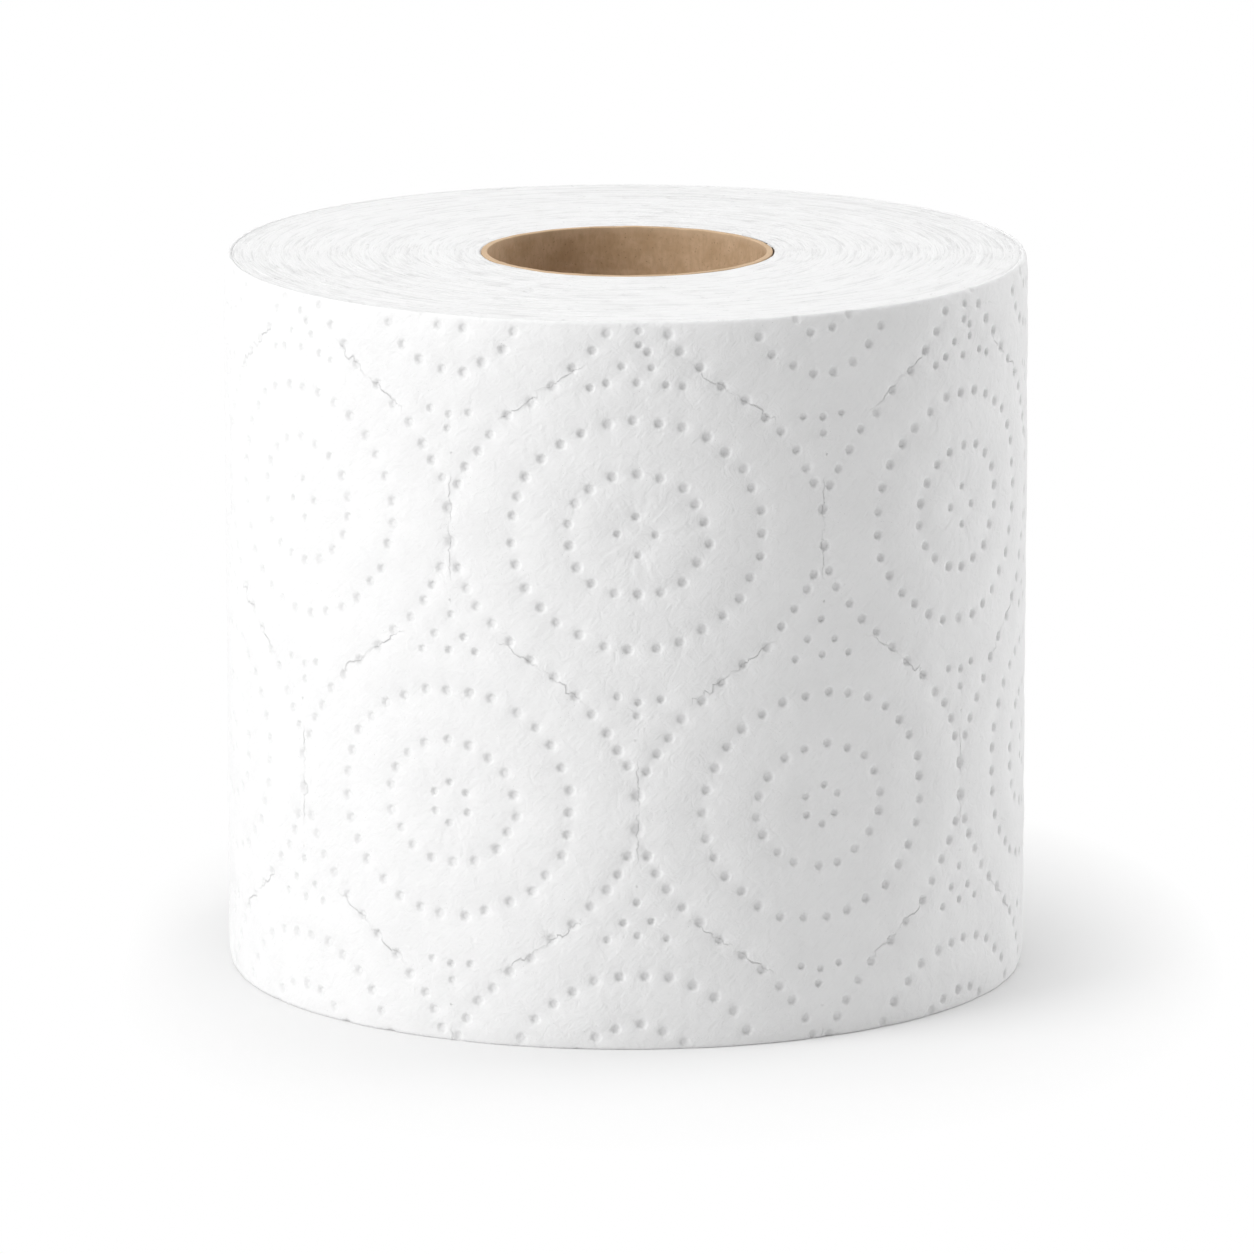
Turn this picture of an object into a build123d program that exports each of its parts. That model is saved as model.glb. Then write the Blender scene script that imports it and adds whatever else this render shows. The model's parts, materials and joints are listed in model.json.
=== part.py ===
"""Toilet paper roll: one long strip of embossed tissue wound on a cardboard core, standing on an end.

The roll has two physical pieces. The core is a plain cardboard tube. The wound paper is one solid:
its turns lie on each other without a gap, so only the outermost turn shapes it. That turn is a
spiral, so the paper's outline is one spiral turn that closes in a small step, where the tail lies on
the turn below.

Frame: +Z along the roll's axis, origin at the centre of the end that it stands on, tail at the back.
All sizes are in millimetres.
"""

import os
from math import cos, radians, sin

from build123d import *

# The paper
SHEET_WIDTH = 104.0  # length of the roll along its axis, the width of the strip
ROLL_RADIUS = 58.0  # from the axis to the top of the tail
TURN_THICKNESS = 0.45  # one turn of thick soft tissue with its embossing
TAIL_ANGLE = 105.0  # degrees from +X, where the strip ends
SHOULDER_HEIGHT = 3.0  # the outer turns lean in over this much at each end
SHOULDER_INSET = 0.3  # how far they lean in there

# The core
CORE_RADIUS = 21.0  # outside
CORE_WALL = 0.9  # wound cardboard plies
CORE_GAP = 0.05  # between the core and the first turn, all round

SPIRAL_ARCS = 4  # quarter arcs that make one spiral turn


def spiral_turn(outer_radius, pitch, start_angle):
    """One closed spiral turn: tangent arcs that tighten by pitch over a full turn, then a radial step."""
    arc_size = 360.0 / SPIRAL_ARCS
    tighten = pitch / SPIRAL_ARCS
    centre, radius, angle = Vector(0, 0), outer_radius, start_angle
    arcs = []
    for _ in range(SPIRAL_ARCS):
        arcs.append(CenterArc(centre, radius, angle, arc_size))
        angle += arc_size
        # The next centre lies on the line from the last one to the joint, so the arcs are tangent.
        centre += Vector(cos(radians(angle)), sin(radians(angle))) * tighten
        radius -= tighten
    Line(arcs[-1] @ 1, arcs[0] @ 0)


# Cardboard core: a straight tube, cut flush with the paper at both ends.
with BuildPart() as core_tube:
    with BuildSketch():
        Circle(CORE_RADIUS)
        Circle(CORE_RADIUS - CORE_WALL, mode=Mode.SUBTRACT)
    extrude(amount=SHEET_WIDTH)

# Wound paper: the spiral outline along the axis, its outer edges leaning in, bored for the core.
with BuildPart() as wound_paper:
    with BuildSketch():
        with BuildLine():
            spiral_turn(ROLL_RADIUS, TURN_THICKNESS, TAIL_ANGLE)
        make_face()
    extrude(amount=SHEET_WIDTH)
    for end in (faces().sort_by(Axis.Z)[0], faces().sort_by(Axis.Z)[-1]):
        rim = end.edges().filter_by(GeomType.CIRCLE)
        chamfer(rim, length=SHOULDER_INSET, length2=SHOULDER_HEIGHT, reference=end)
    Hole(CORE_RADIUS + CORE_GAP)

core_tube.part.label = "core_tube"
wound_paper.part.label = "wound_paper"

os.makedirs("parts", exist_ok=True)
for piece in (core_tube, wound_paper):
    export_step(piece.part, f"parts/{piece.part.label}.step")
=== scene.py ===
"""Looks of a toilet paper roll: embossed outer turn, wound turns seen at both ends, cardboard core.

The roll stands on one end, with its axis along +Z and its origin at the centre of that end. Angles round
it start at the front, which faces -Y, and are positive towards +X. A place on the outermost turn is
measured on the flat strip: along it from the front, and up from its lower edge. Everything is in metres.
"""

import json
import math

import bpy
import numpy as np
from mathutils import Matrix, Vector
from mathutils.geometry import delaunay_2d_cdt


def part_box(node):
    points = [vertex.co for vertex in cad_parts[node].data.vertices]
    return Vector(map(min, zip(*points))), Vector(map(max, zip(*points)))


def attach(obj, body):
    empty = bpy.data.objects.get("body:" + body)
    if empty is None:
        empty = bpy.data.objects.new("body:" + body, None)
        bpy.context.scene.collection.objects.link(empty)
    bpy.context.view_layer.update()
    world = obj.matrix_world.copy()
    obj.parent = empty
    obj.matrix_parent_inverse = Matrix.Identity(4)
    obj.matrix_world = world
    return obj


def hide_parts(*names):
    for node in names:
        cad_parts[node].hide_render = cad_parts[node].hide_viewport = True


MM = 0.001
FULL_TURN = 2 * math.pi

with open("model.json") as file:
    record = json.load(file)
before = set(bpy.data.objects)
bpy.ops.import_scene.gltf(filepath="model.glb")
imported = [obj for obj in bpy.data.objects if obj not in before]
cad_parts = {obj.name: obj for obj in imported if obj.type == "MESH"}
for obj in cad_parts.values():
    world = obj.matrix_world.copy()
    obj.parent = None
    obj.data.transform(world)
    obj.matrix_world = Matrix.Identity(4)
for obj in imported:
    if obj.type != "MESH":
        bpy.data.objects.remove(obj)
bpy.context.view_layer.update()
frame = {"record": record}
random = np.random.default_rng(7)

# ---------------------------------------------------------------- sizes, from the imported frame

paper_low, paper_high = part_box("wound_paper")
_, core_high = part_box("core_tube")
mounts = {mount["name"]: mount for mount in frame["record"]["mounts"]}

WIDTH = paper_high.z - paper_low.z  # of the strip, so the height of the standing roll
ROLL_RADIUS = -paper_low.x  # at the top of the tail
CORE_RADIUS = core_high.x
CORE_INSIDE = mounts["core_bore"]["dims"]["r_mm"] * MM
CORE_CLEARANCE = 0.05 * MM  # between the core and the first turn, all round
PAPER_BORE = CORE_RADIUS + CORE_CLEARANCE
TURN = 0.45 * MM  # thickness of one turn, so also the step at the tail
TAIL = math.radians(105 + 90 - 360)  # where the strip ends, at the back

# ---------------------------------------------------------------- sizes of the looks

SHOULDER_HEIGHT = 3.0 * MM  # the outer turns lean in over this much at each end
SHOULDER_INSET = 0.3 * MM
RIM_ROUND = 0.4 * MM  # the soft cut edge of the outermost turn

COLUMN_STEP = 27.25 * MM  # a row has a medallion in every second column, and a crossing in the others
ROW_STEP = 39.6 * MM
FRONT_MEDALLION = (1.5 * MM, 73.9 * MM)  # column 0, row 0; row numbers grow downwards
PATTERN_SLOPE = -0.012  # the strip was wound a little askew
CUT_ROW = -1  # the row that the upper edge cuts
PATTERN_ROWS = (CUT_ROW, 0, 1, 2)

DOT = 0.72 * MM  # radius
CROSSING_DOT = 0.86 * MM
SMALL_DOT = 0.58 * MM
DOT_DEPTH = 0.42 * MM
DOT_JITTER = 0.17 * MM

INNER_RING = (9.9 * MM, 8.7 * MM, 18)  # half width, half height, dots
OUTER_RING = (17.9 * MM, 16.2 * MM, 31)
CUT_INNER_RING = (5.2 * MM, 4.2 * MM, 9)  # at the upper edge the rings are smaller and sit lower
CUT_OUTER_RING = (10.6 * MM, 10.0 * MM, 19)
CUT_MEDALLION_DROP = 7.6 * MM
CENTRE_RING = 2.75 * MM
CROSSING_OFFSET = 2.4 * MM  # from a crossing's middle to each of its two dots
BRANCH_START = 6.2 * MM  # from a crossing down to the first dot of the curves that leave it
BRANCH_DOTS = 12

# Groups of small dots above and below a medallion: millimetres right of and above its centre.
TRIANGLE = [(0, 26.8), (-2.3, 23.9), (2.1, 23.9), (-4.3, 21.5), (0, 21.8), (4.1, 21.5)]
WIDE_TRIANGLE = TRIANGLE + [(-6.6, 20.9), (6.4, 20.9), (1.4, 25.9), (0.2, 29.0)]
TREFOIL = [(-3.0, -23.2), (0, -23.8), (3.0, -23.2), (0, -25.9)]

PILLOW = 0.14 * MM  # how far the paper puffs up between the dots
PILLOW_REACH = 2.6 * MM
SAG = 0.1 * MM  # close round a dot the paper dips towards it
SAG_REACH = 0.6 * MM
CREASE_DEPTH = 0.06 * MM
CREASE_WIDTH = 0.3 * MM
TUCK = 4 * MM  # the outermost turn runs on this far under the tail


def smoothstep(low, high, value):
    """0 at low and beyond it, 1 at high and beyond it; high may be the smaller."""
    t = np.clip((value - low) / (high - low), 0, 1)
    return t * t * (3 - 2 * t)


def soft_noise(points, wavelength, waves=7):
    """Smooth noise of about -1 to 1 over points in any number of dimensions: a few plane waves added up."""
    total = np.zeros(len(points))
    for _ in range(waves):
        direction = random.normal(size=points.shape[1])
        direction /= np.linalg.norm(direction)
        pace = FULL_TURN / (wavelength * random.uniform(0.7, 1.5))
        total += np.sin(points @ direction * pace + random.uniform(0, FULL_TURN))
    return total / math.sqrt(waves / 2) / 2


def on_roll(angle, radius, height):
    """Points round the axis, as rows of x, y and z."""
    return np.stack([radius * np.sin(angle), -radius * np.cos(angle), height], axis=1)


def spiral_radius(angle_from_tail):
    """Outside of the strip, followed inwards from the tail."""
    return ROLL_RADIUS - TURN * angle_from_tail / FULL_TURN


# ---------------------------------------------------------------- meshes and nodes


def add_piece(name, vertices, faces, material, attributes, node):
    """Makes a smooth-shaded piece that stands for a CAD node. attributes holds one value for each vertex."""
    mesh = bpy.data.meshes.new(name)
    mesh.from_pydata(vertices.tolist(), [], faces)
    mesh.polygons.foreach_set("use_smooth", [True] * len(mesh.polygons))
    for key, values in attributes.items():
        kind, field = ("FLOAT", "value") if values.ndim == 1 else ("FLOAT_VECTOR", "vector")
        layer = mesh.attributes.new(key, kind, "POINT")
        layer.data.foreach_set(field, values.astype(np.float32).ravel())
    mesh.materials.append(material)
    piece = bpy.data.objects.new(name, mesh)
    bpy.context.scene.collection.objects.link(piece)
    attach(piece, "root")
    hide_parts(node)
    return piece


def new_material(name):
    material = bpy.data.materials.new(name)
    material.use_nodes = True
    return material, material.node_tree, material.node_tree.nodes["Principled BSDF"]


def add_node(tree, kind, inputs, **settings):
    """Adds a node. Each input is given a constant, or the output that feeds it."""
    node = tree.nodes.new(kind)
    for key, value in settings.items():
        setattr(node, key, value)
    for key, value in inputs.items():
        if isinstance(value, bpy.types.NodeSocket):
            tree.links.new(value, node.inputs[key])
        else:
            node.inputs[key].default_value = value
    return node


def maths(tree, operation, *values):
    return add_node(tree, "ShaderNodeMath", dict(enumerate(values)), operation=operation).outputs[0]


def noise(tree, vector, detail=2.0, roughness=0.5, distortion=0.0):
    """Noise of 0 to 1 with one feature for each unit of the vector."""
    inputs = {"Vector": vector, "Scale": 1.0, "Detail": detail}
    inputs |= {"Roughness": roughness, "Distortion": distortion}
    return add_node(tree, "ShaderNodeTexNoise", inputs).outputs["Fac"]


def stretched(tree, vector, sizes, turned=0.0):
    """The vector turned about Z, then counted in steps of the three sizes."""
    turned = add_node(tree, "ShaderNodeMapping", {"Vector": vector, "Rotation": (0, 0, turned)}).outputs[0]
    scale = tuple(1 / size for size in sizes)
    return add_node(tree, "ShaderNodeMapping", {"Vector": turned, "Scale": scale}).outputs[0]


def between(tree, value, low, high, from_low=0.0, from_high=1.0):
    """The value carried smoothly from one range to another, and held at its ends."""
    inputs = {"Value": value, "From Min": from_low, "From Max": from_high, "To Min": low, "To Max": high}
    return add_node(tree, "ShaderNodeMapRange", inputs, interpolation_type="SMOOTHSTEP").outputs[0]


def mixed(tree, amount, first, second):
    """A colour mixed from two, each a constant or an output."""
    inputs = {0: amount, 6: first, 7: second}  # the node's sockets for colours have no names of their own
    return add_node(tree, "ShaderNodeMix", inputs, data_type="RGBA").outputs[2]


def attribute(tree, name, output="Vector"):
    return add_node(tree, "ShaderNodeAttribute", {}, attribute_name=name).outputs[output]


def finish_surface(tree, shader, color, roughness, height):
    """Feeds a shader's colour and roughness, and bumps it by a height in metres."""
    bump = add_node(tree, "ShaderNodeBump", {"Strength": 1.0, "Distance": 1.0, "Height": height})
    tree.links.new(bump.outputs[0], shader.inputs["Normal"])
    tree.links.new(color, shader.inputs["Base Color"])
    tree.links.new(roughness, shader.inputs["Roughness"])


def grey(value, warmth=0.0):
    return (value + warmth, value, value - warmth, 1)


# ---------------------------------------------------------------- the embossed pattern


def lattice_point(column, row):
    along = FRONT_MEDALLION[0] + column * COLUMN_STEP
    return along, FRONT_MEDALLION[1] - row * ROW_STEP + PATTERN_SLOPE * along


def lattice():
    """Column, row and place of every lattice point, a little past both ends of the outermost turn."""
    first = math.floor(ROLL_RADIUS * TAIL / COLUMN_STEP) - 2
    last = math.ceil(ROLL_RADIUS * (TAIL + FULL_TURN) / COLUMN_STEP) + 2
    for column in range(first, last + 1):
        for row in PATTERN_ROWS:
            yield column, row, lattice_point(column, row)


def ring_dots(centre, half_width, half_height, count):
    """Places evenly spaced on an ellipse, the first one near its top."""
    start = random.uniform(-0.08, 0.08)
    for step in range(count):
        angle = FULL_TURN * step / count + start
        yield centre[0] + half_width * math.sin(angle), centre[1] + half_height * math.cos(angle)


def branch_dots(crossing, side):
    """Places on the curve from a crossing down to the next row's crossing, one column to a side."""
    start = BRANCH_START / ROW_STEP
    for step in range(BRANCH_DOTS):
        t = start + (1 - 2 * start) * step / (BRANCH_DOTS - 1)
        across = 2 * t * t if t < 0.5 else 1 - 2 * (1 - t) ** 2
        yield crossing[0] + side * across * COLUMN_STEP, crossing[1] - t * ROW_STEP


def pattern_dots():
    """Every dot on the outermost turn, as rows of along, height, radius and depth."""
    dots = []

    def press(places, radius):
        for place in places:
            along, height = random.normal(place, DOT_JITTER)
            size = radius * random.uniform(0.93, 1.07)
            dots.append((along, height, size, DOT_DEPTH * random.uniform(0.75, 1.2)))

    def group(centre, offsets):
        return [(centre[0] + right * MM, centre[1] + up * MM) for right, up in offsets]

    for column, row, centre in lattice():
        if (column + row) % 2:
            press([(centre[0], centre[1] + way * CROSSING_OFFSET) for way in (-1, 1)], CROSSING_DOT)
            for side in (-1, 1):
                press(branch_dots(centre, side), DOT)
            continue
        inner, outer = (CUT_INNER_RING, CUT_OUTER_RING) if row == CUT_ROW else (INNER_RING, OUTER_RING)
        ring_centre = (centre[0], centre[1] - CUT_MEDALLION_DROP * (row == CUT_ROW))
        press(ring_dots(ring_centre, *inner), DOT)
        press(ring_dots(ring_centre, *outer), DOT)
        press(ring_dots(centre, CENTRE_RING, CENTRE_RING, 6 if row % 2 else 4), SMALL_DOT)
        press(group(centre, WIDE_TRIANGLE if row == 0 else TRIANGLE), SMALL_DOT)
        press(group(centre, TREFOIL), SMALL_DOT)
    dots = np.array(dots)
    return dots[(dots[:, 1] > -DOT) & (dots[:, 1] < WIDTH + DOT)]


def pattern_creases():
    """Creases that join the dots next to a crossing, as rows of along and height at both ends."""
    creases = []
    for column, row, crossing in lattice():
        if (column + row) % 2 == 0:
            continue
        upper, lower = ((crossing[0], crossing[1] + way * CROSSING_OFFSET) for way in (1, -1))
        creases.append((*upper, *lower))
        for side in (-1, 1):
            below = [lower] + list(branch_dots(crossing, side))[:2]
            above_crossing = (crossing[0] - side * COLUMN_STEP, crossing[1] + ROW_STEP)
            above = [upper] + list(branch_dots(above_crossing, side))[:-3:-1]
            creases += [(*start, *end) for run in (below, above) for start, end in zip(run, run[1:])]
    creases = np.array(creases)
    return creases[(creases.min(axis=1) > -1) & (creases[:, 1] < WIDTH) & (creases[:, 3] > 0)]


def near_parts(points, places, reach):
    """Splits the points along the strip, and gives each part with the rows of places that lie near it."""
    order = np.argsort(points[:, 0])
    for part in np.array_split(order, len(order) // 1500 + 1):
        low, high = points[part, 0].min() - reach, points[part, 0].max() + reach
        yield part, places[(places[:, 0] > low) & (places[:, 0] < high)]


def dot_relief(points, dots):
    """For each point: how deep the dots press it, how much of a dot it lies in (which the material darkens as
    painted shade), and how far its dot is.
    """
    sunk, painted_pit_shade, away = np.zeros(len(points)), np.zeros(len(points)), np.ones(len(points))
    for part, near in near_parts(points, dots, COLUMN_STEP / 2):
        distance = np.hypot(points[part, :1] - near[:, 0], points[part, 1:] - near[:, 1])
        share = distance / near[:, 2]
        pit = smoothstep(1.1, 0.72, share)
        bowl = pit * (0.8 + 0.2 * np.clip(1 - share**2, 0, 1))
        sunk[part] = (bowl * near[:, 3]).max(axis=1)
        painted_pit_shade[part] = pit.max(axis=1)
        away[part] = distance.min(axis=1)
    return sunk, painted_pit_shade, away


def crease_relief(points, creases):
    """How deep the creases fold each point."""
    folded = np.zeros(len(points))
    for part, near in near_parts(points, creases, COLUMN_STEP / 2):
        start, run = near[:, :2], near[:, 2:] - near[:, :2]
        offset = points[part, None, :] - start
        share = np.clip((offset * run).sum(axis=2) / (run * run).sum(axis=1), 0, 1)
        distance = np.linalg.norm(offset - share[..., None] * run, axis=2).min(axis=1)
        folded[part] = CREASE_DEPTH * np.exp(-((distance / CREASE_WIDTH) ** 2))
    return folded


def from_medallion(points):
    """Each point's place from the nearest medallion's centre, with a third coordinate of 0."""
    centres = np.array([centre for column, row, centre in lattice() if (column + row) % 2 == 0])
    offsets = np.zeros((len(points), 3))
    for part, near in near_parts(points, centres, 2 * COLUMN_STEP):
        offset = points[part, None, :] - near
        nearest = np.linalg.norm(offset, axis=2).argmin(axis=1)
        offsets[part, :2] = offset[np.arange(len(part)), nearest]
    return offsets


# ---------------------------------------------------------------- the outermost turn

STRIP_START = ROLL_RADIUS * TAIL
STRIP_END = STRIP_START + ROLL_RADIUS * FULL_TURN + TUCK
DOT_RINGS = [(0.0, 1), (0.5, 5), (0.76, 11), (1.06, 12), (1.45, 9)]  # share of the radius, points on it
CREASE_SHARES = (0.34, 0.5, 0.66)  # mesh points along a crease
FOLD_ROOM = 0.45 * MM  # that the field leaves round them
FIELD_STEP = 1.14 * MM  # between mesh points away from the dots
EDGE_STEP = 0.7 * MM
EDGE_ROWS = [0.12 * MM, 0.3 * MM, 0.6 * MM, 1.1 * MM]  # from each end, where the surface curves in
DOT_ROOM = 0.3 * MM  # the sheet is this much thicker away from its visible edges, for the dots' depth
THIN_EDGE = 0.8 * MM
DEEP_EDGE = 2.5 * MM
TOOTH = 3.1 * MM  # spacing of the torn perforation's tabs, along the tail's edge
TOOTH_HEIGHT = 0.3 * MM


def clear_of(points, places):
    """Whether each point is clear of every place, given as rows of along, height and the room it keeps."""
    clear = np.ones(len(points), bool)
    for part, near in near_parts(points, places, 3 * MM):
        distance = np.hypot(points[part, :1] - near[:, 0], points[part, 1:] - near[:, 1])
        clear[part] = (distance > near[:, 2]).all(axis=1)
    return clear


def surface_points(dots, creases):
    """Points of the outermost turn's outer surface: rows at its edges, an even field, and dots and folds."""
    steps = np.linspace(STRIP_START, STRIP_END, round((STRIP_END - STRIP_START) / EDGE_STEP))
    climbs = np.linspace(0, WIDTH, round(WIDTH / EDGE_STEP))
    border = [(along, height) for along in steps for height in (0, WIDTH)]
    border += [(along, height) for height in climbs[1:-1] for along in (STRIP_START, STRIP_END)]

    rows = [(along, side) for along in steps[1:-1] for row in EDGE_ROWS for side in (row, WIDTH - row)]
    field = []
    columns = np.arange(STRIP_START + FIELD_STEP, STRIP_END - 0.5 * MM, FIELD_STEP * 0.87)
    for number, along in enumerate(columns):
        shift = FIELD_STEP / 2 * (number % 2)
        field += [(along, height) for height in np.arange(2 * MM + shift, WIDTH - 1.6 * MM, FIELD_STEP)]
    field = np.array(rows + field)
    reach = DOT_RINGS[-1][0] + 0.35
    clear = clear_of(field, np.column_stack([dots[:, :2], reach * dots[:, 2]]))

    start, run = creases[:, None, :2], creases[:, None, 2:] - creases[:, None, :2]
    sideways = run[..., ::-1] * (-1, 1) / np.linalg.norm(run, axis=2)[..., None] * CREASE_WIDTH * 1.2
    folds = [start + run * share + sideways * side for side in (-1, 0, 1) for share in CREASE_SHARES]
    folds = np.concatenate(folds).reshape(-1, 2)
    inside = (folds[:, 0] > STRIP_START + MM) & (folds[:, 0] < STRIP_END - MM)
    folds = folds[inside & (folds[:, 1] > 2 * MM) & (folds[:, 1] < WIDTH - 2 * MM)]
    clear &= clear_of(field, np.column_stack([folds, np.full(len(folds), FOLD_ROOM)]))

    rings = []
    for share, count in DOT_RINGS:
        turn = FULL_TURN * (np.arange(count) + share) / count
        ring = np.stack([np.cos(turn), np.sin(turn)], axis=1) * share
        rings.append((dots[:, None, :2] + ring * dots[:, None, 2:3]).reshape(-1, 2))
    rings = np.concatenate(rings)
    inside = (rings[:, 0] > STRIP_START + 0.1 * MM) & (rings[:, 0] < STRIP_END - 0.1 * MM)
    inside &= (rings[:, 1] > 0.08 * MM) & (rings[:, 1] < WIDTH - 0.08 * MM)
    return np.array(border), field[clear], np.concatenate([rings[inside], folds])


def triangulate(points):
    """Points and counter-clockwise triangles of their Delaunay mesh."""
    places, _, triangles, *_ = delaunay_2d_cdt([Vector(p) for p in points / MM], [], [], 0, 1e-4)
    return np.array([tuple(p) for p in places]) * MM, [tuple(t) for t in triangles]


def lean_in(height):
    """How far the surface lies inside its full radius near the two ends."""
    to_end = np.minimum(height, WIDTH - height)
    shoulder = SHOULDER_INSET * np.clip(1 - to_end / SHOULDER_HEIGHT, 0, 1) ** 1.5
    return shoulder + RIM_ROUND / 2 * np.clip(1 - to_end / RIM_ROUND, 0, 1) ** 2


def wrap_strip(points, relief):
    """Winds flat points into the outermost turn, tears the tail's edge and tucks in what lies under it."""
    along, height = points.T
    tooth = TOOTH_HEIGHT * smoothstep(0.55, 0.9, np.cos(height * FULL_TURN / TOOTH))
    along = along - tooth * smoothstep(1.5 * MM, 0, along - STRIP_START)
    tucked = 0.25 * MM * smoothstep(0, TUCK / 2, along - STRIP_START - ROLL_RADIUS * FULL_TURN)
    angle = along / ROLL_RADIUS
    return on_roll(angle, spiral_radius(angle - TAIL) - lean_in(height) - tucked + relief, height)


def room_below(points):
    """1 where the deep dots have room below them, and 0 near the strip's visible edges, where it is thin."""
    along, height = points.T
    from_end = smoothstep(THIN_EDGE, DEEP_EDGE, np.minimum(height, WIDTH - height))
    return from_end * smoothstep(MM, 6 * MM, along - STRIP_START)


def outline(points):
    """Indices of the points on the strip's four edges, counter-clockwise from the tail's lower corner."""
    along, height = points.T
    near = 1e-6
    low = np.flatnonzero(height < near)
    high = np.flatnonzero(height > WIDTH - near)
    tail = np.flatnonzero(along < STRIP_START + near)
    end = np.flatnonzero(along > STRIP_END - near)
    loop = [low[np.argsort(along[low])], end[np.argsort(height[end])]]
    loop += [high[np.argsort(-along[high])], tail[np.argsort(-height[tail])]]
    return [int(i) for edge in loop for i in edge[:-1]]


def make_outer_turn(material):
    dots, creases = pattern_dots(), pattern_creases()
    border, field, rings = surface_points(dots, creases)
    outer, outer_faces = triangulate(np.concatenate([border, field, rings]))
    sunk, painted_pit_shade, away = dot_relief(outer, dots)
    flat_at_edge = smoothstep(0, 2.5 * MM, np.minimum(outer[:, 1], WIDTH - outer[:, 1]))
    puff = PILLOW * (1 - np.exp(-((away / PILLOW_REACH) ** 2)))
    puff -= SAG * np.exp(-((np.maximum(away - DOT, 0) / SAG_REACH) ** 2))
    sway = 0.05 * MM * soft_noise(outer, 24 * MM) + 0.03 * MM * soft_noise(outer, 7 * MM)
    room = room_below(outer)
    relief = (puff + sway) * (0.4 + 0.6 * flat_at_edge) - sunk * (0.6 + 0.4 * room)
    relief -= crease_relief(outer, creases)

    steps = np.arange(STRIP_START + 4 * MM, STRIP_END - 3 * MM, 4 * MM)
    coarse = [(along, height) for along in steps for height in np.linspace(0, WIDTH, 9)[1:-1]]
    loop = outline(outer)
    inner, inner_faces = triangulate(np.concatenate([outer[loop], np.array(coarse)]))
    inner_loop = outline(inner)

    count = len(outer)
    faces = outer_faces + [tuple(count + i for i in face[::-1]) for face in inner_faces]
    pairs = list(zip(loop, [count + i for i in inner_loop]))
    faces += [(b[0], a[0], a[1], b[1]) for a, b in zip(pairs, pairs[1:] + pairs[:1])]
    back = wrap_strip(inner, -TURN * 0.97 - DOT_ROOM * room_below(inner))
    vertices = np.concatenate([wrap_strip(outer, relief), back])
    flat = np.concatenate([outer, inner])
    attributes = {
        "strip": np.column_stack([flat, np.zeros(len(flat))]),
        "from_medallion": from_medallion(flat),
        "painted_pit_shade": np.concatenate([painted_pit_shade, np.zeros(len(inner))]),
    }
    return add_piece("outer_turn", vertices, faces, material, attributes, "wound_paper")


def outer_turn_material():
    """Soft white tissue: fibres on a slant, crumples, fine wrinkles round the medallions, and painted shade
    in the dots' pits.
    """
    material, tree, shader = new_material("embossed_tissue")
    strip = attribute(tree, "strip")
    fibres = noise(tree, stretched(tree, strip, (1.9 * MM, 0.5 * MM, 1), turned=-0.75), 4, 0.65)
    crumple = noise(tree, stretched(tree, strip, (2.1 * MM, 2.1 * MM, 1)), 4, 0.6, 0.7)

    offset = attribute(tree, "from_medallion")
    reach = add_node(tree, "ShaderNodeVectorMath", {0: offset}, operation="LENGTH").outputs["Value"]
    way = add_node(tree, "ShaderNodeVectorMath", {0: offset}, operation="NORMALIZE").outputs[0]
    way = add_node(tree, "ShaderNodeVectorMath", {0: way, 3: 3.2}, operation="SCALE").outputs[0]
    rays = between(tree, noise(tree, way, 1, 0.5), 0, 1, 0.35, 0.65)
    past_centre = between(tree, reach, 0, 1, 2 * MM, 4 * MM)
    inside_ring = between(tree, reach, 1, 0, 6 * MM, 9 * MM)
    ray_zone = maths(tree, "MULTIPLY", past_centre, inside_ring)
    rays = maths(tree, "MULTIPLY", rays, ray_zone)

    height = maths(tree, "MULTIPLY", fibres, 0.08 * MM)
    height = maths(tree, "MULTIPLY_ADD", crumple, 0.2 * MM, height)
    height = maths(tree, "MULTIPLY_ADD", rays, 0.05 * MM, height)

    painted_pit_shade = attribute(tree, "painted_pit_shade", "Fac")
    cloud = noise(tree, stretched(tree, strip, (9 * MM, 9 * MM, 1)), 3)
    color = mixed(tree, between(tree, cloud, 0, 1, 0.3, 0.7), grey(0.88), grey(0.91))
    color = mixed(tree, between(tree, fibres, 0.25, 0, 0.3, 0.5), color, grey(0.8))
    # The dots' pits are darkened a little: painted shade, added to the real shade of the dents.
    color = mixed(tree, maths(tree, "MULTIPLY", painted_pit_shade, 0.2), color, grey(0.66))
    specks = add_node(tree, "ShaderNodeTexVoronoi", {"Vector": stretched(tree, strip, (3 * MM, 3 * MM, 1))})
    rare = between(tree, noise(tree, stretched(tree, strip, (6 * MM, 6 * MM, 1)), 1), 0, 1, 0.56, 0.62)
    speck = maths(tree, "MULTIPLY", between(tree, specks.outputs["Distance"], 0.9, 0, 0.05, 0.09), rare)
    color = mixed(tree, speck, color, grey(0.5))
    roughness = between(tree, crumple, 0.8, 0.95)
    finish_surface(tree, shader, color, roughness, height)
    shader.inputs["Specular IOR Level"].default_value = 0.2
    return material


# ---------------------------------------------------------------- the turns inside it, seen at both ends

TURN_STEPS = 260  # mesh steps in each full turn
LAST_TURN = math.floor((ROLL_RADIUS - PAPER_BORE) / TURN) - 1
MIDDLE_RADIUS = 40 * MM
CORE_GAP_WIDTH = 0.28 * MM  # the innermost turns stand off the core this much at the ends
CORE_GAP_DEPTH = 1.3 * MM
EDGE_STEP_HEIGHT = 0.03 * MM  # between one turn's cut edge and the next
EDGE_WAVE_HEIGHT = 0.03 * MM  # slow rise and fall along the turns
EDGE_RIPPLE_HEIGHT = 0.02 * MM
VALLEY_DEPTH = 0.07 * MM  # between the edges of two turns
LOOSE_GAP_DEPTH = 0.12 * MM  # more of it, where turns have parted
OUTER_GAP_DEPTH = 0.15 * MM  # more of it, between the outermost turns


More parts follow.
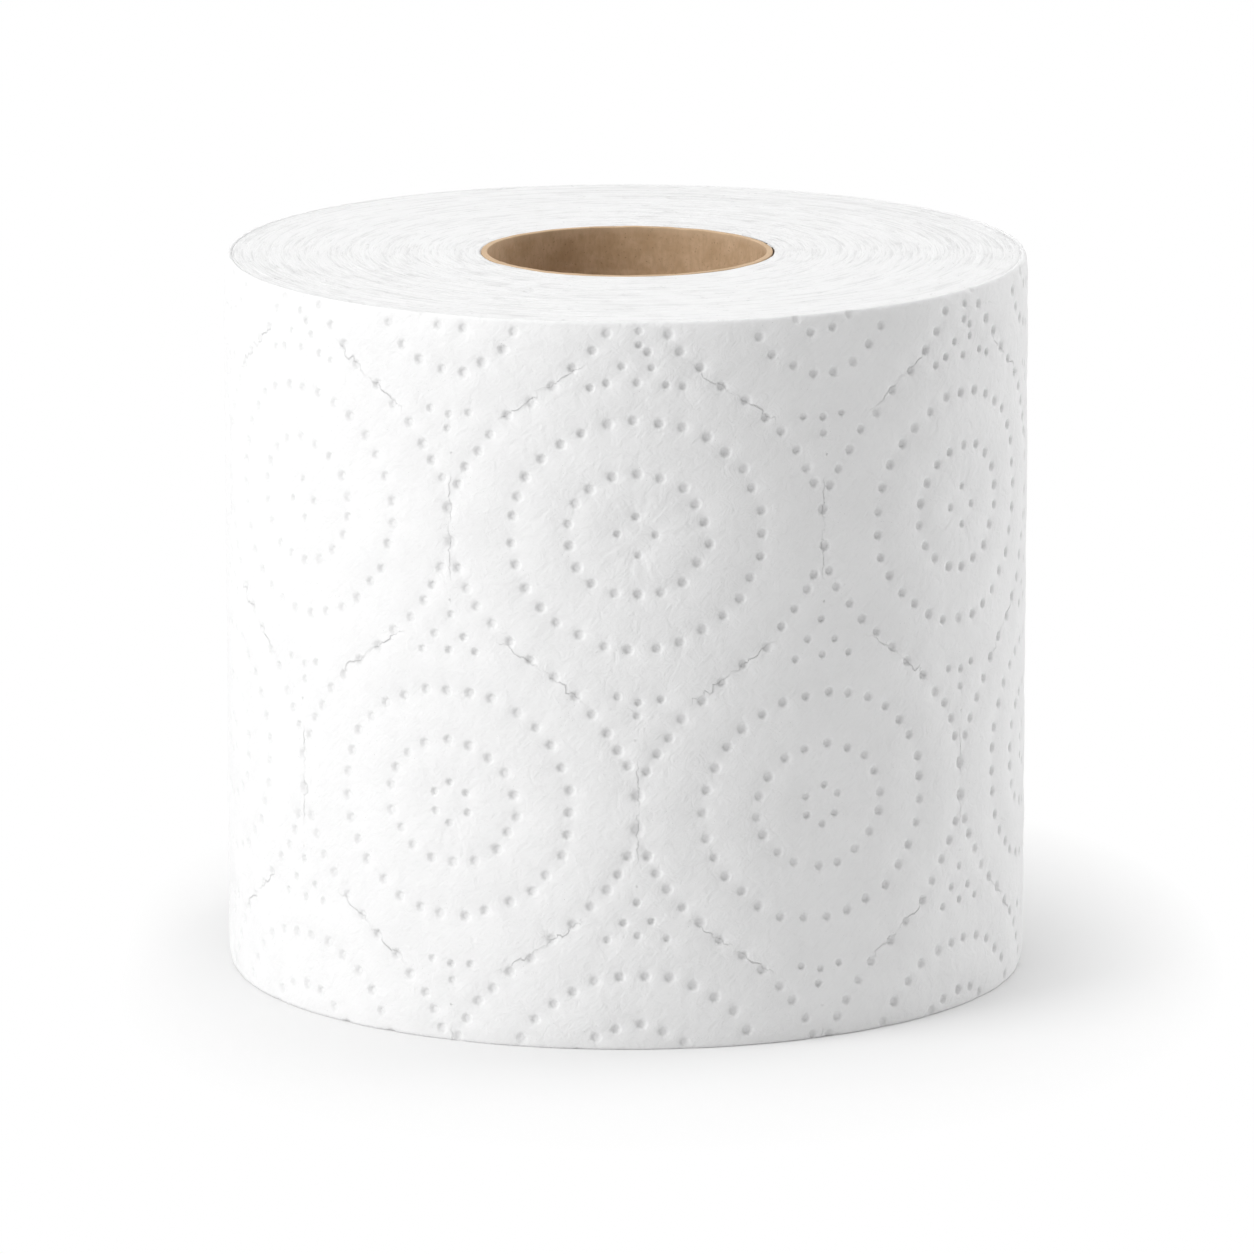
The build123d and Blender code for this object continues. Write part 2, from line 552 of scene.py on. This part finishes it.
def turn_heights(angle, turn_number):
    """How far each turn's cut edge stands above or below the end's mean level."""
    count = LAST_TURN + 2
    each = random.normal(0, 1, count)
    each = (each + np.roll(each, 1)) / 2
    place = np.column_stack([np.sin(angle) * 3, np.cos(angle) * 3, turn_number / 3])
    level = EDGE_STEP_HEIGHT * each[turn_number]
    level = level + EDGE_WAVE_HEIGHT * soft_noise(place, 2.2)
    return level + EDGE_RIPPLE_HEIGHT * soft_noise(place, 0.8)


def end_vertices(up):
    """Rows of turn boundaries, then of turn middles, then the lip's and the bore's circles, at one end."""
    ridge_steps = np.arange((LAST_TURN - 1) * TURN_STEPS + 1)
    valley_steps = np.arange(LAST_TURN * TURN_STEPS + 1)
    bore_steps = np.arange(TURN_STEPS)
    rows = []
    for steps, share in ((valley_steps, 0.0), (ridge_steps, 0.5)):
        turned = FULL_TURN * (1 + steps / TURN_STEPS)
        radius = spiral_radius(turned + FULL_TURN * share)
        relief = turn_heights(turned, steps // TURN_STEPS + 1)
        if share == 0.0:
            place = np.column_stack([np.sin(turned) * radius, np.cos(turned) * radius]) / MM
            gap = smoothstep(0.1, 1.2, soft_noise(place, 6)) * LOOSE_GAP_DEPTH
            loose = smoothstep(5 * TURN, 0, ROLL_RADIUS - radius) * OUTER_GAP_DEPTH
            relief -= VALLEY_DEPTH + gap + loose
        rows.append(on_roll(TAIL + turned, radius, relief))
    turned = FULL_TURN * bore_steps / TURN_STEPS
    uneven = soft_noise(np.column_stack([np.sin(turned), np.cos(turned)]) * 3, 1.5)
    lip = PAPER_BORE + CORE_GAP_WIDTH * (0.75 + 0.35 * uneven)
    rows.append(on_roll(TAIL + turned, lip, -0.08 * MM - 0.05 * MM * uneven))
    rows.append(on_roll(TAIL + turned, PAPER_BORE, np.full(TURN_STEPS, -CORE_GAP_DEPTH)))
    vertices = np.concatenate(rows)
    from_axis = np.hypot(vertices[:, 0], vertices[:, 1])
    inset = lean_in(np.zeros(1))[0] * smoothstep(6 * MM, 0, ROLL_RADIUS - from_axis)
    vertices[:, :2] *= (1 - inset / from_axis)[:, None]
    vertices[:, 2] = np.minimum(vertices[:, 2], 0)
    vertices[:, 2] = WIDTH + vertices[:, 2] if up else -vertices[:, 2]
    return vertices, len(valley_steps), len(ridge_steps)


def make_wound_turns(material):
    """One closed solid from the core to the outermost turn, with every turn's edge at both ends."""
    top, valleys, ridges = end_vertices(up=True)
    bottom, _, _ = end_vertices(up=False)
    step = TURN_STEPS
    faces = []
    for k in range(ridges - 1):
        ridge = valleys + k
        faces.append((k, ridge, ridge + 1, k + 1)[::-1])
        faces.append((ridge, k + step, k + step + 1, ridge + 1)[::-1])
    lip, bore = valleys + ridges, valleys + ridges + step
    last = valleys - 1 - step
    for k in range(step):
        onward = (k + 1) % step
        faces.append((last + k, lip + k, lip + onward, last + k + 1)[::-1])
        faces.append((lip + k, bore + k, bore + onward, lip + onward)[::-1])
    faces.append((lip, last, valleys + ridges - 1)[::-1])
    faces.append((lip, valleys + ridges - 1, last + step)[::-1])
    count = len(top)
    faces += [tuple(count + i for i in face[::-1]) for face in faces]
    rim = list(range(step + 1)) + [valleys]

    # The side wall, which steps in under the outermost turn's thicker part.
    wall = ((THIN_EDGE, 0), (DEEP_EDGE, DOT_ROOM), (WIDTH - DEEP_EDGE, DOT_ROOM), (WIDTH - THIN_EDGE, 0))
    rings = []
    for below, inset in wall:
        ring = top[rim].copy()
        ring[:, :2] *= 1 - inset / np.hypot(ring[:, 0], ring[:, 1])[:, None]
        ring[:, 2] = WIDTH - below
        rings.append(ring)
    first = 2 * count
    loops = [rim]
    for i in range(len(rings)):
        loops.append(list(range(first + i * len(rim), first + (i + 1) * len(rim))))
    loops.append([count + i for i in rim])
    for upper, lower in zip(loops, loops[1:]):
        around = zip(upper, upper[1:] + upper[:1], lower, lower[1:] + lower[:1])
        faces += [(c, d, b, a) for a, b, c, d in around]
    hole = [bore + k for k in range(step)]
    faces += [(a, b, count + b, count + a) for a, b in zip(hole, hole[1:] + hole[:1])]
    vertices = np.concatenate([top, bottom] + rings)
    return add_piece("wound_turns", vertices, faces, material, {}, "wound_paper")


def wound_turns_material():
    """Cut edges of the turns: fine broken lines along the spiral, and painted shade that greys the gaps
    between turns in lines and small specks.
    """
    material, tree, shader = new_material("cut_tissue_edges")
    place = add_node(tree, "ShaderNodeTexCoord", {}).outputs["Object"]
    x, y, _ = add_node(tree, "ShaderNodeSeparateXYZ", {0: place}).outputs
    squares = [maths(tree, "MULTIPLY", part, part) for part in (x, y)]
    radius = maths(tree, "SQRT", maths(tree, "ADD", *squares))

    def along_turns(arc, across):
        """The place in steps of arc round the axis, at a middling radius, and in steps of across outwards."""
        pace = MIDDLE_RADIUS / arc
        parts = {
            "X": maths(tree, "MULTIPLY", maths(tree, "DIVIDE", x, radius), pace),
            "Y": maths(tree, "MULTIPLY", maths(tree, "DIVIDE", y, radius), pace),
            "Z": maths(tree, "DIVIDE", radius, across),
        }
        return add_node(tree, "ShaderNodeCombineXYZ", parts).outputs[0]

    lint = noise(tree, along_turns(1.2 * MM, 0.16 * MM), 3, 0.6)
    gap_shade_lines = noise(tree, along_turns(9 * MM, 0.45 * MM), 3, 0.6)
    specks = noise(tree, along_turns(1.0 * MM, 0.35 * MM), 2, 0.5)

    height = maths(tree, "MULTIPLY", lint, 0.08 * MM)
    height = maths(tree, "MULTIPLY_ADD", gap_shade_lines, 0.12 * MM, height)
    # Darker broken lines and specks along the spiral: painted shade in the gaps between turns.
    color = mixed(tree, between(tree, gap_shade_lines, 0.7, 0, 0.32, 0.52), grey(0.91), grey(0.76))
    color = mixed(tree, between(tree, specks, 0, 0.5, 0.64, 0.76), color, grey(0.6))
    finish_surface(tree, shader, color, between(tree, lint, 0.85, 0.98), height)
    shader.inputs["Specular IOR Level"].default_value = 0.15
    return material


# ---------------------------------------------------------------- the cardboard core

SEAM_LEAD = 82 * MM  # height that the inner ply's seam climbs in one turn
SEAM_AT_TOP = math.radians(20)  # where it meets the upper rim: at the front, inside
SEAM_WIDTH = 0.35 * MM
CORE_RIM = 0.24 * MM  # how far the cut rim is rounded
PLAIN_WALL_START = 1.2 * MM  # from each end; nearer it, the wall's mesh is only the rim's

DARK_BOARD = (0.53, 0.36, 0.215, 1)
PALE_BOARD = (0.66, 0.47, 0.305, 1)
FIBRE_BROWN = (0.40, 0.27, 0.155, 1)
FLECK_BROWN = (0.28, 0.18, 0.10, 1)
CUT_BOARD = (0.66, 0.49, 0.33, 1)


def make_core(material):
    """Closed tube of wound cardboard, with a helical seam inside and soft, slightly uneven rims."""
    seam_side = np.array([-3, -1.6, -0.9, -0.5, -0.2, 0, 0.2, 0.5, 0.9, 1.6, 3]) * SEAM_WIDTH / CORE_INSIDE
    plain = np.linspace(seam_side[-1], FULL_TURN + seam_side[0], 170)[1:-1]
    from_seam = np.concatenate([seam_side, plain])
    wall = np.linspace(PLAIN_WALL_START, WIDTH - PLAIN_WALL_START, 66)
    edge = np.array([0, 0.04, 0.16, 0.5, 1]) * CORE_RIM
    rise = np.array([1, 0.45, 0.12, 0, 0]) * CORE_RIM

    # The wall's section, once round from the middle of the inside: up, over the upper rim, down the
    # outside, over the lower rim and up again.
    inside = [(0, h) for h in wall]
    upper = [(a, WIDTH - b) for a, b in zip(edge, rise)]
    thickness = CORE_RADIUS - CORE_INSIDE
    middle = [(thickness * share, WIDTH) for share in (0.4, 0.6)]
    outside = [(thickness - a, h) for a, h in upper[::-1]]
    half = inside[len(inside) // 2:] + upper + middle + outside + [(thickness, WIDTH - PLAIN_WALL_START)]
    section = half + [(a, WIDTH - h) for a, h in half[::-1]]
    depth, height = np.array(section).T

    angle = SEAM_AT_TOP + from_seam[:, None] + (height - WIDTH) * FULL_TURN / SEAM_LEAD
    radius = CORE_INSIDE + np.broadcast_to(depth, angle.shape)
    level = np.broadcast_to(height, angle.shape)
    flat = np.column_stack([np.sin(angle).ravel() * 20, np.cos(angle).ravel() * 20, level.ravel() / MM])
    sway = soft_noise(flat, 22).reshape(angle.shape)
    seam = np.exp(-((from_seam[:, None] * CORE_INSIDE / SEAM_WIDTH) ** 2)) * (depth < thickness / 2)
    step = smoothstep(3, 0, from_seam[:, None] * CORE_INSIDE / MM) * (depth == 0)
    radius = radius + 0.04 * MM * sway * (depth < thickness / 2) + 0.1 * MM * seam - 0.06 * MM * step
    to_end = np.minimum(level, WIDTH - level)
    ragged = 0.05 * MM * soft_noise(flat, 3.5).reshape(angle.shape) * (to_end < 0.3 * MM)
    level = np.clip(level + ragged, 0, WIDTH)
    vertices = on_roll(angle.ravel(), radius.ravel(), level.ravel())

    columns, rows = angle.shape
    faces = []
    for column in range(columns):
        here, there = column * rows, (column + 1) % columns * rows
        for row in range(rows):
            above = (row + 1) % rows
            faces.append((here + row, there + row, there + above, here + above))
    cut = (to_end < 0.25 * MM).astype(float).ravel()
    attributes = {"cut_edge": cut}
    return add_piece("cardboard_core", vertices, faces, material, attributes, "core_tube")


def core_material():
    """Grey-brown board: fibres along the ply, mottling, a paler cut rim."""
    material, tree, shader = new_material("wound_cardboard")
    place = add_node(tree, "ShaderNodeTexCoord", {}).outputs["Object"]
    fibres = noise(tree, stretched(tree, place, (0.5 * MM, 0.5 * MM, 1.4 * MM)), 4, 0.6)
    mottle = noise(tree, stretched(tree, place, (3.5 * MM, 3.5 * MM, 3.5 * MM)), 4, 0.6, 0.4)
    flecks = noise(tree, stretched(tree, place, (0.35 * MM, 0.35 * MM, 0.35 * MM)), 1)
    color = mixed(tree, between(tree, mottle, 0, 1, 0.3, 0.7), DARK_BOARD, PALE_BOARD)
    color = mixed(tree, between(tree, fibres, 0.3, 0, 0.3, 0.6), color, FIBRE_BROWN)
    color = mixed(tree, between(tree, flecks, 0, 0.5, 0.66, 0.76), color, FLECK_BROWN)
    cut = maths(tree, "MULTIPLY", attribute(tree, "cut_edge", "Fac"), 0.5)
    color = mixed(tree, cut, color, CUT_BOARD)
    height = maths(tree, "MULTIPLY", fibres, 0.03 * MM)
    height = maths(tree, "MULTIPLY_ADD", mottle, 0.05 * MM, height)
    finish_surface(tree, shader, color, between(tree, fibres, 0.75, 0.92), height)
    shader.inputs["Specular IOR Level"].default_value = 0.25
    return material


# ---------------------------------------------------------------- floor, light and camera

CAMERA_DISTANCE = 1.4663
CAMERA_HEIGHT = 0.3611
CAMERA_PITCH = 0.210  # radians below level
CAMERA_LENS = 296.6

FLOOR_SIZE = 8.0
FLOOR_GREY = 0.86
SHADOW_REACH = 56 * MM  # from the roll to where the camera sees the floor plain white, in front and behind
SHADOW_NARROWER = 34 * MM  # how much less it reaches to the sides
SHADOW_RIGHTWARD = 7 * MM  # how much more to the right, and less to the left
EVEN_LIGHT = 0.35

# angle, rise, distance, width, height, power
SOFTBOXES = {
    "key_softbox": (-62, 27, 1.4, 0.9, 0.7, 11.3),
    "top_softbox": (0, 88, 1.4, 1.0, 1.0, 8.2),
    "back_softbox": (119, 16, 1.4, 0.9, 0.7, 7.2),
}


def camera_sees(tree):
    """1 on rays that show the background: from the camera, in gloss and through glass."""
    path = add_node(tree, "ShaderNodeLightPath", {}).outputs
    seen = maths(tree, "MAXIMUM", path["Is Camera Ray"], path["Is Glossy Ray"])
    return maths(tree, "MAXIMUM", seen, path["Is Transmission Ray"])


def make_floor():
    """Pale floor. Away from the roll the camera sees it plain white; near it, it shows the roll's shadow. The
    fade to white reaches farther in front, behind and to the right, so it draws the shadow's outline: the
    shadow is lit for real, its extent partly painted.
    """
    mesh = bpy.data.meshes.new("floor")
    half = FLOOR_SIZE / 2
    corners = [(-half, -half, 0), (half, -half, 0), (half, half, 0), (-half, half, 0)]
    mesh.from_pydata(corners, [], [(0, 1, 2, 3)])
    floor = bpy.data.objects.new("floor", mesh)
    bpy.context.scene.collection.objects.link(floor)
    material, tree, shader = new_material("pale_floor")
    shader.inputs["Base Color"].default_value = grey(FLOOR_GREY)
    shader.inputs["Roughness"].default_value = 0.9
    shader.inputs["Specular IOR Level"].default_value = 0.0
    place = add_node(tree, "ShaderNodeTexCoord", {}).outputs["Object"]
    away = add_node(tree, "ShaderNodeVectorMath", {0: place}, operation="LENGTH").outputs["Value"]
    across = add_node(tree, "ShaderNodeSeparateXYZ", {0: place}).outputs["X"]
    # The reach is longest in front and behind and a little to the right: a drawn shadow outline, so the
    # floor's shadow is partly painted.
    sideways = maths(tree, "DIVIDE", across, away)
    narrower = maths(tree, "MULTIPLY_ADD", sideways, -SHADOW_NARROWER, SHADOW_RIGHTWARD)
    reach = maths(tree, "MULTIPLY_ADD", sideways, narrower, ROLL_RADIUS + SHADOW_REACH)
    inputs = {"Value": away, "From Min": ROLL_RADIUS, "From Max": reach, "To Min": 0.0, "To Max": 1.0}
    far = add_node(tree, "ShaderNodeMapRange", inputs).outputs[0]
    white = add_node(tree, "ShaderNodeEmission", {"Color": grey(1), "Strength": 1.0})
    share = maths(tree, "MULTIPLY", far, camera_sees(tree))
    mix = add_node(tree, "ShaderNodeMixShader", {0: share, 1: shader.outputs[0], 2: white.outputs[0]})
    tree.links.new(mix.outputs[0], tree.nodes["Material Output"].inputs["Surface"])
    mesh.materials.append(material)


def make_world():
    """Even light from all round, and a plain white background where the camera sees past the floor."""
    world = bpy.data.worlds.new("studio")
    world.use_nodes = True
    bpy.context.scene.world = world
    tree = world.node_tree
    tree.nodes.clear()
    even = add_node(tree, "ShaderNodeBackground", {"Color": grey(1), "Strength": EVEN_LIGHT})
    white = add_node(tree, "ShaderNodeBackground", {"Color": grey(1), "Strength": 1.0})
    shaders = {0: camera_sees(tree), 1: even.outputs[0], 2: white.outputs[0]}
    mix = add_node(tree, "ShaderNodeMixShader", shaders)
    output = tree.nodes.new("ShaderNodeOutputWorld")
    tree.links.new(mix.outputs[0], output.inputs["Surface"])


def add_softbox(name, angle, rise, distance, width, height, power):
    """A soft lamp aimed at the roll's middle, some degrees round it from the front and some above level."""
    lamp = bpy.data.lights.new(name, "AREA")
    lamp.shape = "RECTANGLE"
    lamp.size = width
    lamp.size_y = height
    lamp.energy = power
    box = bpy.data.objects.new(name, lamp)
    bpy.context.scene.collection.objects.link(box)
    turned, raised = math.radians(angle), math.radians(rise)
    flat = distance * math.cos(raised)
    target = Vector((0, 0, WIDTH / 2))
    offset = (flat * math.sin(turned), -flat * math.cos(turned), distance * math.sin(raised))
    box.location = target + Vector(offset)
    box.rotation_euler = (target - box.location).to_track_quat("-Z", "Y").to_euler()


def add_camera():
    data = bpy.data.cameras.new("camera")
    data.sensor_width = 36
    data.lens = CAMERA_LENS
    camera = bpy.data.objects.new("camera", data)
    camera.location = (0, -CAMERA_DISTANCE, CAMERA_HEIGHT)
    camera.rotation_euler = (math.pi / 2 - CAMERA_PITCH, 0, 0)
    bpy.context.scene.collection.objects.link(camera)
    bpy.context.scene.camera = camera


make_outer_turn(outer_turn_material())
make_wound_turns(wound_turns_material())
make_core(core_material())
make_floor()
make_world()
for name, placing in SOFTBOXES.items():
    add_softbox(name, *placing)
add_camera()

scene = bpy.context.scene
scene.view_settings.view_transform = "Standard"
